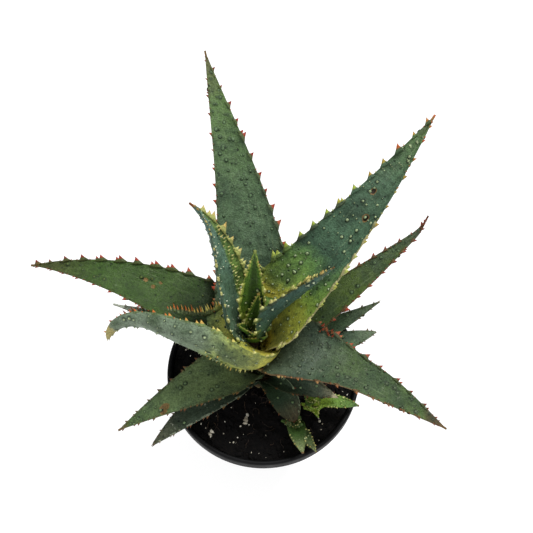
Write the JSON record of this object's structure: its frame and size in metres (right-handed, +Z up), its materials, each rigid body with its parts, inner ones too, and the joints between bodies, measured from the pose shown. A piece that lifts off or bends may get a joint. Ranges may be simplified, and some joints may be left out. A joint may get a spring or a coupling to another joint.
{
  "type": "potted aloe",
  "caption": "Small toothed aloe with prickly grey-green leaves on a short stem, with offsets at its foot, in peat in a round black nursery pot.",
  "frame": {"origin": "the middle of the pot's flat foot, where it stands", "axes": "+Z up, +X to the viewer's right and +Y away from the viewer in the reference view"},
  "size_m": [0.215, 0.1892, 0.1853],
  "materials": {
    "pot_plastic": "moulded, satin black",
    "peat": "rough, dark, crumbly",
    "stem_bark": "dry, ringed by leaf scars",
    "leaf": "waxy, with dark tubercles and red teeth",
    "young_leaf": "waxy bloom, with pale prickles and teeth",
    "offset_leaf": "waxy, bright green, with pale prickles"
  },
  "bodies": {
    "root": {"pot": "pot_plastic", "soil": "peat", "stem": "stem_bark", "heart": "young_leaf", "young_right": "young_leaf", "young_left": "young_leaf", "arching": "young_leaf", "right_back": "leaf", "back": "leaf", "right_front": "leaf", "left": "leaf", "right": "leaf", "left_front": "leaf", "left_under": "leaf", "right_low_back": "leaf", "right_low": "leaf", "left_low": "leaf", "front_right_low": "leaf", "front_low": "leaf", "offset_right": "offset_leaf", "offset_front": "offset_leaf"}
  },
  "joints": []
}
